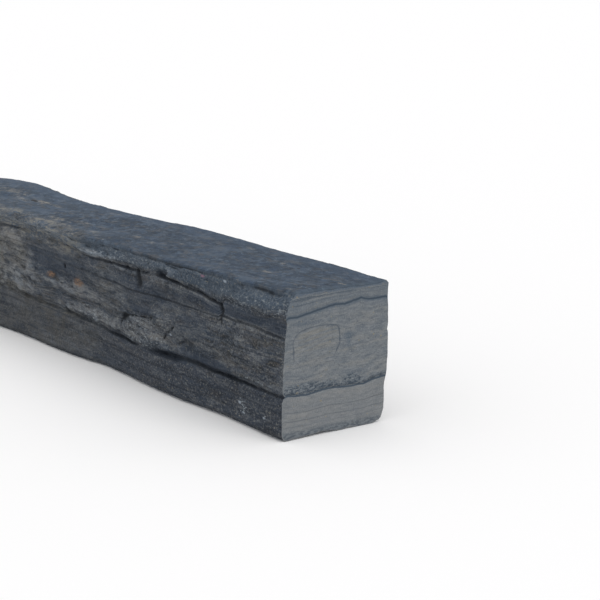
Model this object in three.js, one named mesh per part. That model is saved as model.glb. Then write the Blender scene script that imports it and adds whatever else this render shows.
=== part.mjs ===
// A split schist post, lying down.
//
// Posts like this one are levered out of the quarry bed along the rock's own cleavage and sawn to
// length. The top and the underside are cleavage planes, almost flat. The two long sides are broken
// across the beds, so the beds show on them as ledges with long seams between. The two ends are sawn.
//
// Units are millimetres. The post lies along X with its better sawn end at +X, the side that shows
// its beds best faces -Y, and +Z is up. The origin is on the ground under the middle of the post.

import * as THREE from 'three';

// Driving dimensions.
const LENGTH = 1500;
const FRONT_FOOT_RADIUS = 6;
const BACK_FOOT_RADIUS = 12;
const SHOULDER_RADIUS = 4;

// Sections are closer together near the better end, where the relief is finest.
const FINE_LENGTH = 600;
const FINE_STEP = 20;
const COARSE_STEP = 30;

// Beds, counted up from the ground: a level of 0 is the ground, 1 the main seam, 2 the upper seam and
// 3 the top. A level in between is part of the way up a bed.
const MAIN_SEAM = 1;
const UPPER_SEAM = 2;
const TOP = 3;

// Levels of the rows of points up each long side, crowded around the seams.
const SIDE_LEVELS = [0.1, 0.36, 0.66, 0.92, MAIN_SEAM, 1.06, 1.18, 1.36, 1.54, 1.72, 1.9];
SIDE_LEVELS.push(UPPER_SEAM, 2.14, 2.46, 2.8);

// Places of the rows of points across the top and the underside, from the -Y edge (0) to the +Y edge.
const ACROSS = [0, 0.14, 0.28, 0.43, 0.57, 0.72, 0.86, 1];

// A smooth curve through [distance from the better end, value] knots.
function curve(knots) {
  const places = knots.map(([place]) => place);
  const values = knots.map(([, value]) => value);
  const interpolant = new THREE.CubicInterpolant(places, values, 1);
  return (place) => interpolant.evaluate(place)[0];
}

// Heights of the seams on the front. The beds rise a little towards the back.
const MAIN_SEAM_RISE = 3;
const UPPER_SEAM_RISE = 6;
const mainSeamHeight = curve([
  [0, 39], [130, 41], [230, 38], [345, 43], [430, 45], [520, 48], [700, 44], [900, 41], [1150, 46],
  [1350, 42], [1500, 44],
]);
const upperSeamHeight = curve([
  [0, 105], [90, 106], [180, 112], [250, 111], [340, 110], [400, 114], [510, 115], [700, 112],
  [950, 108], [1200, 113], [1500, 107],
]);

// Depths of the seams in from the broken sides. They are worn away where the saw cut them open.
const mainSeamDepth = curve([
  [0, 0.6], [60, 2], [150, 3.5], [300, 2.5], [600, 3], [900, 2], [1200, 3], [1500, 1],
]);
const UPPER_SEAM_SHARE = 0.5;

// Heights of the top along its two edges. The far edge has a low hump.
const topHeightFront = curve([
  [0, 127], [150, 127], [300, 126], [450, 125], [600, 128], [750, 127], [950, 124], [1150, 127],
  [1350, 128], [1500, 125],
]);
const topHeightBack = curve([
  [0, 126], [100, 128], [300, 130], [370, 129], [530, 130], [580, 133], [630, 135], [680, 133.5],
  [740, 130], [950, 128], [1200, 131], [1500, 127],
]);

// How far each side stands out from the middle of the post, at its foot and at its shoulder.
const frontFoot = curve([
  [0, 59], [90, 56], [160, 59], [215, 57], [316, 51], [360, 54], [470, 55], [530, 57], [700, 60], [900, 56],
  [1100, 59], [1300, 54], [1500, 57],
]);
const frontShoulder = curve([
  [0, 51], [50, 57], [95, 54], [200, 57], [290, 54], [400, 56], [520, 52], [700, 56], [900, 51], [1100, 55],
  [1300, 57], [1500, 52],
]);
const backFoot = curve([
  [0, 52], [150, 54], [320, 51], [500, 56], [700, 53], [900, 58], [1100, 53], [1300, 57], [1500, 54],
]);
const backShoulder = curve([
  [0, 55], [150, 54], [350, 55], [550, 52], [750, 56], [950, 54], [1150, 51], [1350, 55], [1500, 52],
]);

// Spalls (out < 0) and swellings (out > 0) on a side: a place along the post and up the beds, how far
// each reaches along and up, and how far it stands out.
const FRONT_RELIEF = [
  { place: 0, level: 3, along: 22, up: 0.4, out: -3 },
  { place: 0, level: 1.1, along: 120, up: 0.75, out: 4 },
  { place: 42, level: 2.9, along: 18, up: 0.3, out: -4 },
  { place: 90, level: 1.1, along: 60, up: 0.14, out: -2 },
  { place: 165, level: 1.08, along: 55, up: 0.12, out: -4 },
  { place: 205, level: 1.4, along: 80, up: 0.22, out: 4 },
  { place: 235, level: 2.05, along: 40, up: 0.25, out: -4 },
  { place: 330, level: 1.2, along: 60, up: 0.2, out: -3 },
  { place: 300, level: 1.75, along: 70, up: 0.3, out: 2 },
  { place: 410, level: 1.5, along: 60, up: 0.3, out: 3 },
  { place: 440, level: 2.6, along: 70, up: 0.4, out: -5 },
  { place: 560, level: 1.3, along: 60, up: 0.3, out: -4 },
  { place: 660, level: 1.9, along: 90, up: 0.4, out: 3 },
  { place: 800, level: 1.3, along: 90, up: 0.3, out: -5 },
  { place: 930, level: 2.4, along: 80, up: 0.4, out: -4 },
  { place: 1010, level: 1.6, along: 70, up: 0.3, out: 4 },
  { place: 1180, level: 0.6, along: 90, up: 0.4, out: -4 },
  { place: 1270, level: 1.4, along: 80, up: 0.4, out: -4 },
  { place: 1400, level: 2.2, along: 60, up: 0.4, out: 3 },
];
const BACK_RELIEF = [
  { place: 60, level: 1.5, along: 60, up: 0.4, out: 1.5 },
  { place: 170, level: 2.3, along: 60, up: 0.3, out: -4 },
  { place: 260, level: 1.2, along: 70, up: 0.3, out: -3 },
  { place: 390, level: 1.7, along: 80, up: 0.4, out: 4 },
  { place: 520, level: 2.5, along: 70, up: 0.3, out: -5 },
  { place: 640, level: 1.2, along: 80, up: 0.3, out: -5 },
  { place: 790, level: 0.5, along: 90, up: 0.3, out: 3 },
  { place: 880, level: 1.8, along: 90, up: 0.4, out: -4 },
  { place: 1040, level: 1.4, along: 70, up: 0.3, out: 5 },
  { place: 1130, level: 2.6, along: 60, up: 0.4, out: -5 },
  { place: 1260, level: 1.3, along: 80, up: 0.3, out: -4 },
  { place: 1420, level: 1.8, along: 60, up: 0.4, out: 2 },
];

function relief(features, place, level) {
  let out = 0;
  for (const feature of features) {
    const along = (place - feature.place) / feature.along;
    const up = (level - feature.level) / feature.up;
    out += feature.out * Math.exp(-along * along - up * up);
  }
  return out;
}

// The broken faces waver a little along the post, each level in its own rhythm.
const WAVER = 0.6;
const WAVER_LENGTHS = [29, 47];

function waver(place, level, phase) {
  const [short, long] = WAVER_LENGTHS;
  const quick = Math.sin(place / short + 3.1 * level + phase);
  const slow = Math.sin(place / long - 2.3 * level + phase);
  return WAVER * (quick + slow);
}

// How much a round arris of this radius sets a point in, at a given distance from the edge.
function arrisInset(distance, radius) {
  const short = Math.max(0, 1 - distance / radius);
  return radius * (1 - Math.sqrt(1 - short * short));
}

function topHeight(place, across) {
  const sweep = THREE.MathUtils.lerp(topHeightFront(place), topHeightBack(place), across);
  const ripple = 0.6 * Math.sin(place / 38 + 5 * across) * Math.sin(Math.PI * across);
  return sweep + ripple;
}

// The underside is a cleavage plane too: long flats on the ground, with shallow hollows between them.
const HOLLOW_DEPTH = 2.4;
const REST_HALF_LENGTH = 90;

function undersideHeight(place, across) {
  const fromMiddle = Math.abs(place - LENGTH / 2);
  const fade = THREE.MathUtils.smoothstep(fromMiddle, REST_HALF_LENGTH, 2 * REST_HALF_LENGTH);
  const wave = Math.sin(place / 62 + 1) * Math.sin(Math.PI * across);
  const cross = 0.4 * Math.sin(place / 27 + 7 * across);
  return Math.max(0, HOLLOW_DEPTH * fade * (wave + cross - 0.35));
}

function levelHeight(place, level, side) {
  const mainSeam = mainSeamHeight(place) + side.mainSeamRise;
  const upperSeam = upperSeamHeight(place) + side.upperSeamRise;
  const marks = [0, mainSeam, upperSeam, side.topEdge(place)];
  const bed = Math.min(Math.floor(level), TOP - 1);
  return THREE.MathUtils.lerp(marks[bed], marks[bed + 1], level - bed);
}

// One point of a long side, as [how far out from the middle, height].
function sidePoint(place, level, side) {
  const height = levelHeight(place, level, side);
  let out = THREE.MathUtils.lerp(side.foot(place), side.shoulder(place), level / TOP);
  out += relief(side.relief, place, level) + waver(place, level, side.phase);
  if (level === MAIN_SEAM) {
    out -= mainSeamDepth(place);
  }
  if (level === UPPER_SEAM) {
    out -= mainSeamDepth(place) * UPPER_SEAM_SHARE;
  }
  out -= arrisInset(height, side.footRadius);
  out -= arrisInset(side.topEdge(place) - height, SHOULDER_RADIUS);
  return [out, height];
}

const FRONT = {
  foot: frontFoot,
  footRadius: FRONT_FOOT_RADIUS,
  shoulder: frontShoulder,
  topEdge: topHeightFront,
  mainSeamRise: 0,
  upperSeamRise: 0,
  relief: FRONT_RELIEF,
  phase: 0.4,
};
const BACK = {
  foot: backFoot,
  footRadius: BACK_FOOT_RADIUS,
  shoulder: backShoulder,
  topEdge: topHeightBack,
  mainSeamRise: MAIN_SEAM_RISE,
  upperSeamRise: UPPER_SEAM_RISE,
  relief: BACK_RELIEF,
  phase: 2.9,
};

// The outline of the post at one place, as [y, z] points: up the front, across the top, down the back
// and along the underside.
function section(place) {
  const front = SIDE_LEVELS.map((level) => sidePoint(place, level, FRONT));
  const back = SIDE_LEVELS.map((level) => sidePoint(place, level, BACK));
  const topFront = front.at(-1)[0] - SHOULDER_RADIUS;
  const topBack = back.at(-1)[0] - SHOULDER_RADIUS;
  const footFront = front[0][0] - FRONT_FOOT_RADIUS;
  const footBack = back[0][0] - BACK_FOOT_RADIUS;
  const outline = [];
  for (const [out, height] of front) {
    outline.push([-out, height]);
  }
  for (const across of ACROSS) {
    outline.push([THREE.MathUtils.lerp(-topFront, topBack, across), topHeight(place, across)]);
  }
  for (const [out, height] of back.reverse()) {
    outline.push([out, height]);
  }
  for (const across of [...ACROSS].reverse()) {
    outline.push([THREE.MathUtils.lerp(-footFront, footBack, across), undersideHeight(place, across)]);
  }
  return outline;
}

function places() {
  const list = [];
  for (let place = 0; place < FINE_LENGTH; place += FINE_STEP) {
    list.push(place);
  }
  for (let place = FINE_LENGTH; place <= LENGTH; place += COARSE_STEP) {
    list.push(place);
  }
  return list;
}

// Skin the sections into one closed solid: walls between neighbouring outlines, and a flat cap on each
// sawn end.
function skin(outlines, at) {
  const count = outlines[0].length;
  const positions = [];
  outlines.forEach((outline, i) => {
    for (const [y, z] of outline) {
      positions.push(LENGTH / 2 - at[i], y, z);
    }
  });
  const index = [];
  for (let i = 0; i + 1 < outlines.length; i += 1) {
    for (let k = 0; k < count; k += 1) {
      const low = i * count + k;
      const high = i * count + (k + 1) % count;
      index.push(low, high, low + count);
      index.push(high, high + count, low + count);
    }
  }
  const lastRing = (outlines.length - 1) * count;
  for (const [a, b, c] of capTriangles(outlines[0])) {
    index.push(a, b, c);
  }
  for (const [a, b, c] of capTriangles(outlines.at(-1))) {
    index.push(lastRing + a, lastRing + c, lastRing + b);
  }
  const geometry = new THREE.BufferGeometry();
  geometry.setAttribute('position', new THREE.Float32BufferAttribute(positions, 3));
  geometry.setIndex(index);
  geometry.computeVertexNormals();
  return geometry;
}

// Triangles that fill an outline, each anticlockwise as seen from +X.
function capTriangles(outline) {
  const points = outline.map(([y, z]) => new THREE.Vector2(y, z));
  return THREE.ShapeUtils.triangulateShape(points, []).map(([a, b, c]) => {
    const area = THREE.ShapeUtils.area([points[a], points[b], points[c]]);
    return area > 0 ? [a, b, c] : [a, c, b];
  });
}

// Slide a solid sideways until the origin is under the middle of its width.
function centre(geometry) {
  geometry.computeBoundingBox();
  const { min, max } = geometry.boundingBox;
  return geometry.translate(0, -(min.y + max.y) / 2, 0);
}

const at = places();
const schist = new THREE.MeshStandardMaterial({
  name: 'schist',
  color: 0x575d66,
  roughness: 0.85,
  metalness: 0,
});
const post = new THREE.Mesh(centre(skin(at.map(section), at)), schist);
post.name = 'post';

const object = new THREE.Group();
object.add(post);
export default object;
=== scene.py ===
# %% [markdown]
# # A split schist post
#
# Schist is old mud, baked and squeezed until it became thin sheets of mica and quartz. It parts
# along those sheets, which is how this post was made: a slab was split off the quarry bed, broken
# across into long sticks, and sawn to length. So one stone shows three finishes. The top and the
# underside are riven, smooth as slate. The two long sides are broken, rough, and striped by the
# beds. The two ends are sawn flat and show the rock's own pattern.
#
# Everything here is built around a fixed model of the post, in metres, with +Z up. The post lies
# along X, and its better end is at +X.
# %% Load the fixed model
import math

import bpy
import numpy as np
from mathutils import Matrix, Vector, geometry, noise


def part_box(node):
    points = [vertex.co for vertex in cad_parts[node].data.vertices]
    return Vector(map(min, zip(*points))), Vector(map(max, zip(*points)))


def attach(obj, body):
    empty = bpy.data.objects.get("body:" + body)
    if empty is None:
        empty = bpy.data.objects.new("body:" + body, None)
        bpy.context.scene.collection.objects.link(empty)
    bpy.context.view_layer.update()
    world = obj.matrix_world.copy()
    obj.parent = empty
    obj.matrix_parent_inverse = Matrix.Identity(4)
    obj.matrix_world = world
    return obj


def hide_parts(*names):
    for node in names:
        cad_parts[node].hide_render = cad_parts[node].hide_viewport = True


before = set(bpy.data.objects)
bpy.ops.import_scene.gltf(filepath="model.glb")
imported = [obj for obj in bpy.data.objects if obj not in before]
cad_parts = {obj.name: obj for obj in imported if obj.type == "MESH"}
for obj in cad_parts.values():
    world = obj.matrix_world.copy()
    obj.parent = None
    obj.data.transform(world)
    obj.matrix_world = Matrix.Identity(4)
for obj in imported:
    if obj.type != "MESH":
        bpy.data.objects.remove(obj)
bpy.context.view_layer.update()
cad_low, cad_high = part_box("post")
MM = 0.001
LENGTH = (cad_high.x - cad_low.x) / MM
print("the post is", [round(side, 4) for side in cad_high - cad_low], "m")

# %% [markdown]
# ## The camera
#
# A long lens from low down keeps the post's long edges nearly parallel, so it looks as heavy as it
# is. The camera is placed from the middle of the sawn end's foot, so it follows the model if the
# model is moved. Only the nearer part of the post fits in the view.
# %% Camera
LENS = 101.8                                           # mm
AZIMUTH = math.radians(53.5)                           # round from the middle of the front
ELEVATION = math.radians(12.2)
CAMERA_FROM_END = Vector((1.1025, -0.8556, 0.4162))    # m

end_foot = Vector((cad_high.x, (cad_low.y + cad_high.y) / 2, cad_low.z))
backwards = Vector((
    math.sin(AZIMUTH) * math.cos(ELEVATION),
    -math.cos(AZIMUTH) * math.cos(ELEVATION),
    math.sin(ELEVATION),
))
camera = bpy.data.objects.new("camera", bpy.data.cameras.new("camera"))
camera.data.lens = LENS
camera.location = end_foot + CAMERA_FROM_END
camera.rotation_euler = (-backwards).to_track_quat("-Z", "Y").to_euler()
bpy.context.scene.collection.objects.link(camera)
bpy.context.scene.camera = camera
print("the camera is", round(CAMERA_FROM_END.length, 2), "m from the end")

# %% [markdown]
# ## From a coarse solid to a fine skin
#
# The fixed model has the right size and the long curves of the stone, but only a point every
# 20 to 30 mm. A fracture needs a point every millimetre or two. A subdivision modifier would refine
# the whole post alike. Here the solid is read back as what it is, a stack of outlines along X, and
# each outline is redrawn with more points where the stone is seen closest: along the better half,
# and on the front. Every CAD point stays a point of the skin, so the seams stay in their places.
# %% Read the solid as outlines
FRONT_ROWS, TOP_ROWS, BACK_ROWS, UNDER_ROWS = 15, 8, 15, 8
MAIN_SEAM_ROW, UPPER_SEAM_ROW = 4, 11
FRONT_AND_BACK = [(0, FRONT_ROWS, 1), (FRONT_ROWS + TOP_ROWS, BACK_ROWS, -1)]      # the front goes up
ON_GROUND = 0.5                          # mm, a point lower than this lies on the ground


def read_outlines(node):
    """Places along the post, in mm from the better end, and the outline (y, z) at each."""
    points = np.array([v.co for v in node.data.vertices]) / MM
    points = np.unique(points.round(2), axis=0)
    xs = np.unique(points[:, 0])[::-1]
    outlines = []
    for x in xs:
        outline = points[points[:, 0] == x, 1:]
        y, z = (outline - outline.mean(0)).T
        outline = outline[np.argsort(-np.arctan2(z, y))]
        foot = np.argmin(np.where(outline[:, 1] < ON_GROUND, outline[:, 0], np.inf))
        outline = np.roll(outline, -foot - 1, axis=0)
        for first, count, sign in FRONT_AND_BACK:
            rows = outline[first:first + count]
            outline[first:first + count] = rows[np.argsort(sign * rows[:, 1])]
        outlines.append(outline)
    return cad_high.x / MM - xs, np.array(outlines)


cad_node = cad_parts["post"]
cad_places, cad_outlines = read_outlines(cad_node)
assert cad_outlines.shape[1] == FRONT_ROWS + TOP_ROWS + BACK_ROWS + UNDER_ROWS
print(len(cad_places), "outlines of", cad_outlines.shape[1], "points")

# %% [markdown]
# A Catmull-Rom curve passes through all its points and bends smoothly in between, so it suits
# both directions: round an outline, and along the post from one outline to the next.
# %% Redraw the outlines finely
FRONT_STEP, TOP_STEP, BACK_STEP, UNDER_STEP = 1.25, 2.4, 3.6, 6.0      # mm between points
FIRST_PLACE_STEP = 1.75                  # mm between the first two outlines
STEP_GROWTH = 0.003                      # how much wider each gap along the post is than the last


def smooth_rows(rows, at):
    """Rows of a table at fractional row numbers, on a Catmull-Rom curve."""
    i = np.clip(np.floor(at).astype(int), 0, len(rows) - 2)
    t = (at - i).reshape(-1, *[1] * (rows.ndim - 1))
    a, b, c, d = (rows[np.clip(i + k, 0, len(rows) - 1)] for k in (-1, 0, 1, 2))
    return b + 0.5 * t * (c - a + t * (2 * a - 5 * b + 4 * c - d + t * (3 * (b - c) + d - a)))


gaps = np.linalg.norm(np.roll(cad_outlines, -1, axis=1) - cad_outlines, axis=2).mean(0)
steps = np.repeat([FRONT_STEP, TOP_STEP, BACK_STEP, UNDER_STEP],
                  [FRONT_ROWS, TOP_ROWS, BACK_ROWS, UNDER_ROWS])
steps[-1] = FRONT_STEP
counts = np.maximum(1, np.round(gaps / steps)).astype(int)
rows_at = np.concatenate([row + np.arange(count) / count for row, count in enumerate(counts)])

place_count = int(math.log(1 + STEP_GROWTH * LENGTH / FIRST_PLACE_STEP) / STEP_GROWTH)
growth = np.expm1(STEP_GROWTH * np.linspace(0, 1, place_count) * place_count)
places = LENGTH * growth / growth[-1]

closed = np.concatenate([cad_outlines[:, -1:], cad_outlines, cad_outlines[:, :2]], axis=1)
round_ring = smooth_rows(closed.transpose(1, 0, 2), rows_at + 1)
stations = np.interp(places, cad_places, np.arange(len(cad_places)))
skin = smooth_rows(round_ring.transpose(1, 0, 2), stations)
print("the skin is", skin.shape[0], "by", skin.shape[1], "points")

# %% [markdown]
# ## Where each point lies in the rock
#
# Rock has a grain, so its patterns need its own directions rather than the room's. Each point gets a
# place along the post, and a bed height: its height with the beds' waves and dip taken out. On that
# scale the main seam is always at 40 mm and the upper seam at 108 mm, at any place and on any side.
# %% Place and bed height
MAIN_SEAM, UPPER_SEAM, TOP_BED = 40.0, 108.0, 128.0
THIN_SEAMS = (91, 72, 27, 14)            # bed heights of the seams that show as thin lines

seam_rows = np.searchsorted(rows_at, [MAIN_SEAM_ROW, UPPER_SEAM_ROW])
back_rows = np.searchsorted(rows_at, FRONT_ROWS + TOP_ROWS + BACK_ROWS - 1 - np.array(
    [MAIN_SEAM_ROW, UPPER_SEAM_ROW]))
top_rows = np.searchsorted(rows_at, [FRONT_ROWS, FRONT_ROWS + TOP_ROWS - 1])
front_heights = skin[:, [*seam_rows, top_rows[0]]]
back_heights = skin[:, [*back_rows, top_rows[1]]]


def bed_marks(station, y):
    """Heights of the main seam, the upper seam and the top, at y across a station of the skin."""
    near, far = front_heights[station], back_heights[station]
    across = (y - near[0, 0]) / (far[0, 0] - near[0, 0])
    return [near[k, 1] + across * (far[k, 1] - near[k, 1]) for k in range(3)]


def bed_height(marks, z):
    """Height in the beds of points at height z, between the marks that bed_marks gives."""
    main, upper, top = marks
    low = MAIN_SEAM * z / main
    middle = MAIN_SEAM + (UPPER_SEAM - MAIN_SEAM) * (z - main) / (upper - main)
    high = UPPER_SEAM + (TOP_BED - UPPER_SEAM) * (z - upper) / (top - upper)
    return np.where(z < main, low, np.where(z < upper, middle, high))


bed = np.array([bed_height(bed_marks(i, ring[:, 0]), ring[:, 1]) for i, ring in enumerate(skin)])
place = np.repeat(places[:, None], skin.shape[1], axis=1)
side = skin[..., 0].copy()
front = side < 0
from_end = np.minimum(place, LENGTH - place)
print("bed heights run from", bed.min().round(1), "to", bed.max().round(1), "mm")

# %% [markdown]
# On the real front each seam wanders up and down by a few millimetres, more than the fixed model
# shows. Drawing the line off the model's groove would give two lines. So the skin itself slides down
# the face: all of it at the seam, and less and less of it toward the beds on either side.
# %% Let the seams of the front wander
SLIDE_FADE = 3                           # a higher power keeps the slide closer to its seam

# Bed height of a seam, the beds under and over it where its slide has died out, and how far down it
# slides at places along the post. In mm.
SEAM_SLIDES = [
    (MAIN_SEAM, 0, UPPER_SEAM,
     [(0, 0), (14, 1), (60, 1), (105, 1.8), (132, 0), (235, 0), (250, 1.8), (290, 2.2), (340, 0)]),
    (THIN_SEAMS[0], 60, UPPER_SEAM,
     [(0, 0), (20, -2.2), (40, -4.6), (60, -3.6), (104, -3.2), (127, 0), (150, 1.2), (180, 2.4),
      (205, 1.4), (250, 1.8), (300, 0)]),
    (UPPER_SEAM, MAIN_SEAM, TOP_BED,
     [(94, 0), (99, 7), (108, 7), (118, 5.5), (130, 2.8), (152, 2.8), (164, 2), (199, 1.5), (230, 2.5),
      (255, 3.8), (278, 1.5), (301, 1.2), (325, 2.2), (350, 0)]),
]

for seam, under, over, slide in SEAM_SLIDES:
    near = front * np.interp(bed, [under, seam, over], [0, 1, 0]) ** SLIDE_FADE
    skin[..., 1] -= near * np.interp(place, *zip(*slide))
    print("the seam at", seam, "mm slides down by", max(down for _, down in slide), "mm at most")

# %% [markdown]
# ## Broken stone
#
# A fracture across the beds is rough at every size at once: hand-sized swells, thumb-sized scoops
# where a spall sprang off, thin ledges where each sheet let go on its own line, and grains. Blender
# could add these with a stack of Displace modifiers, but a modifier doesn't know the beds. So the
# same noises that its textures use are read here in the rock's own directions, long along the beds
# and short across them, and added up into one distance for each point to move out.
# %% Noise in the rock's directions
SEED_SHIFT = (17.3, 0.31, -5.7)          # lumps that one seed lies from the next
RIPPLE, RIPPLE_SIZE = 0.7, (45, 60, 200)
LEVEL_END = 20                           # mm from an end over which the ripple fades away


def rock_noise(size, seed, octaves=1, gain=1.0):
    """Noise of about -1 to 1 at every point of the skin, with lumps of (along, across, up) mm."""
    axes = [axis / lump + shift * seed
            for axis, lump, shift in zip((place, side, bed), size, SEED_SHIFT)]
    coordinates = np.stack(axes, axis=-1).reshape(-1, 3)
    values = [noise.fractal(point, gain, 2.0, octaves) for point in coordinates.tolist()]
    return np.array(values).reshape(place.shape)


def ease(low, high, value):
    """0 below low, 1 above high, and a smooth step in between."""
    share = np.clip((value - low) / (high - low), 0, 1)
    return share * share * (3 - 2 * share)


bed -= RIPPLE * rock_noise(RIPPLE_SIZE, 32, octaves=3) * ease(0, LEVEL_END, from_end)
print("the beds ripple by", RIPPLE, "mm")

# %% [markdown]
# Ledges: each sheet of a few millimetres ends where it likes. Rounding the bed height down gives the
# number of the sheet, and a noise read with that number, instead of the height, gives the whole
# sheet one edge.
# %% Ledges
SHEET_THICK, SHEET_RUN, SHEET_OUT = 3.6, 60, 0.5       # mm: thickness, length of a bay, depth
SHEET_STEP = 9.17                        # how far apart in the noise two sheets are read


def ledges(thickness, run, seed):
    """How far out each sheet ends, about -1 to 1, with sheets of one thickness in mm."""
    level = (bed + 1.5 * rock_noise((80, 60, 14), seed)) / thickness
    sheet = np.floor(level)
    corner = ease(0.7, 1, level - sheet)
    edges = []
    for number in (sheet, sheet + 1):
        points = np.stack([place / run, number * SHEET_STEP, np.full_like(place, seed)], -1)
        values = [noise.noise(point) for point in points.reshape(-1, 3).tolist()]
        edges.append(np.array(values).reshape(place.shape))
    return edges[0] + corner * (edges[1] - edges[0])


sheets_out = SHEET_OUT * ledges(SHEET_THICK, SHEET_RUN, 3)
print("sheets stand out or in by up to", np.abs(sheets_out).max().round(2), "mm")

# %% [markdown]
# Facets: in a Voronoi pattern each cell is tilted its own way, like the hollows that a chisel or a
# frost spall leaves.
# %% Facets
FACET_SIZE, FACET_OUT = (30, 40, 13), 1.8
FACET_BEND = 0.35                        # how far their edges stray, in cells


def facets(size, seed):
    """Tilted flat cells of (along, across, up) mm, about -1 to 1."""
    along, across, up = size
    bend = FACET_BEND * rock_noise((12, 12, 7), seed + 0.5)
    coordinates = np.stack([
        place / along + bend + 3.1 * seed,
        side / across + 2.3 * seed,
        bed / up + bend,
    ], axis=-1).reshape(-1, 3)
    heights = []
    for point in coordinates.tolist():
        centre = noise.voronoi(point)[1][0]
        tilt = noise.cell_vector(centre * 57.3)
        heights.append((Vector(point) - centre).dot(tilt * 2 - Vector((1, 1, 1))) + tilt.x - 0.5)
    return np.array(heights).reshape(place.shape)


facets_out = FACET_OUT * facets(FACET_SIZE, 2)
print("facets move", facets_out.min().round(1), "to", facets_out.max().round(1), "mm")

# %% [markdown]
# Along one stretch the front's upper edge is worn to a pitted round. The fixed model has a corner
# there. A quadratic curve with that corner as its handle turns it into a round before anything is
# added, so the directions that the pits go in turn evenly over it.
# %% Round the worn shoulder
PITTED = (350, 560)                      # mm from the better end
ROUND_REACH = 15.0                       # mm from the corner to where the curve starts and ends
ROUND_FADE = 30                          # mm over which the round gives way to the corner

front_shoulder, back_shoulder = np.searchsorted(rows_at, [FRONT_ROWS - 0.5, FRONT_ROWS + TOP_ROWS - 0.5])


def round_off(rows, corner_row, reach, share):
    """Outlines with one corner turned into a curve that starts and ends that far from it."""
    length = np.linalg.norm(np.roll(rows, -1, axis=1) - rows, axis=2).mean(0).cumsum()
    first, last = np.searchsorted(length, length[corner_row] + [-reach, reach])
    t = ((length[first:last] - length[first]) / (length[last] - length[first]))[:, None]
    start, end = rows[:, first, None], rows[:, last, None]
    corner = np.stack([start[..., 0], end[..., 1]], -1)
    curve = (1 - t) ** 2 * start + 2 * t * (1 - t) * corner + t ** 2 * end
    rounded = rows.copy()
    rounded[:, first:last] += share[:, None, None] * (curve - rows[:, first:last])
    return rounded


worn_round = ease(PITTED[0] - ROUND_FADE, PITTED[0] + ROUND_FADE, places)
worn_round *= ease(PITTED[1] + ROUND_FADE, PITTED[1] - ROUND_FADE, places)
skin = round_off(skin, front_shoulder, ROUND_REACH, worn_round)
print("the shoulder is round at", int((worn_round > 0.5).sum()), "of", len(places), "outlines")

# %% [markdown]
# From here on a point only moves straight out of the stone or into it. That direction is square to
# the line between the points a few steps to either side. It also tells the faces apart: a broken
# side looks sideways, a riven face looks up or down.
# %% Outward directions
BROKEN_FROM, BROKEN_FULL = 0.45, 0.8     # sideways part of the direction on a broken side


def facing_out(reach):
    """Outward direction (y, z) of every point, from the points that many steps to either side."""
    tangent = np.roll(skin, -reach, axis=1) - np.roll(skin, reach, axis=1)
    tangent /= np.linalg.norm(tangent, axis=2, keepdims=True)
    return np.stack([-tangent[..., 1], tangent[..., 0]], axis=-1)


broken = ease(BROKEN_FROM, BROKEN_FULL, np.abs(facing_out(3)[..., 0]))
outward = facing_out(5)
print("broken sides hold", round(float(broken.mean() * 100)), "% of the points")

# %% [markdown]
# The sizes are added up, and then made calmer where the real side is: by the sawn ends, at the top
# and the foot, along the swelling of the front, and on the bed under the main seam.
# %% Roughness of the sides
SWELL_SIZE, SWELL_OUT = (85, 60, 24), 1.2
CRUMB_SIZE, CRUMB_OUT = (15, 12, 7), 0.75

roughness_out = SWELL_OUT * rock_noise(SWELL_SIZE, 1, octaves=2)
roughness_out += facets_out
roughness_out += sheets_out
roughness_out *= 0.15 + 0.85 * ease(0, 60, from_end)
roughness_out *= 0.3 + 0.7 * ease(0, 16, bed) * ease(TOP_BED, TOP_BED - 12, bed)
roughness_out *= 1 - 0.5 * front * ease(380, 430, place) * ease(620, 560, place)
roughness_out *= 1 - 0.6 * front * ease(MAIN_SEAM, MAIN_SEAM - 4, bed) * ease(700, 600, place)
crumbs_out = CRUMB_OUT * rock_noise(CRUMB_SIZE, 4, octaves=3, gain=0.8)
roughness_out += crumbs_out * (0.25 + 0.75 * ease(0, 12, from_end))
print("the broken sides move", roughness_out.min().round(1), "to", roughness_out.max().round(1), "mm")

# %% [markdown]
# ## Riven stone
#
# A cleavage face is one sheet for most of its area, so it is smooth, with a faint stretch along the
# grain. Here and there a flake half a millimetre thick has gone, and leaves a low terrace with a
# sharp edge. Cutting a slow noise into steps gives such terraces, like the contours on a map.
# %% Terraces on the cleavage faces
FLAKE = 0.5                              # mm thick
FLAKES_EACH_WAY = 2.2                    # steps above and below the middle of the face
RAGGED = 0.12                            # how ragged a flake's edge is, in steps


def terraces(size, seed, height):
    """Steps of one height, on a slow noise."""
    level = FLAKES_EACH_WAY * rock_noise(size, seed, octaves=3)
    level += RAGGED * rock_noise((9, 6, 9), seed + 0.3)
    step = np.floor(level)
    return height * (step + ease(0.9, 1, level - step))


smoothness_out = terraces((150, 48, 90), 5, FLAKE)
smoothness_out += 0.5 * rock_noise((90, 45, 90), 6)                  # slow swells
smoothness_out += 0.16 * rock_noise((12, 7, 30), 7, octaves=2)       # the stretch along the grain
smoothness_out *= np.where(outward[..., 1] < 0, 0.5 * ease(0, 60, from_end), 1)
print("the riven faces move", smoothness_out.min().round(1), "to", smoothness_out.max().round(1), "mm")

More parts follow.
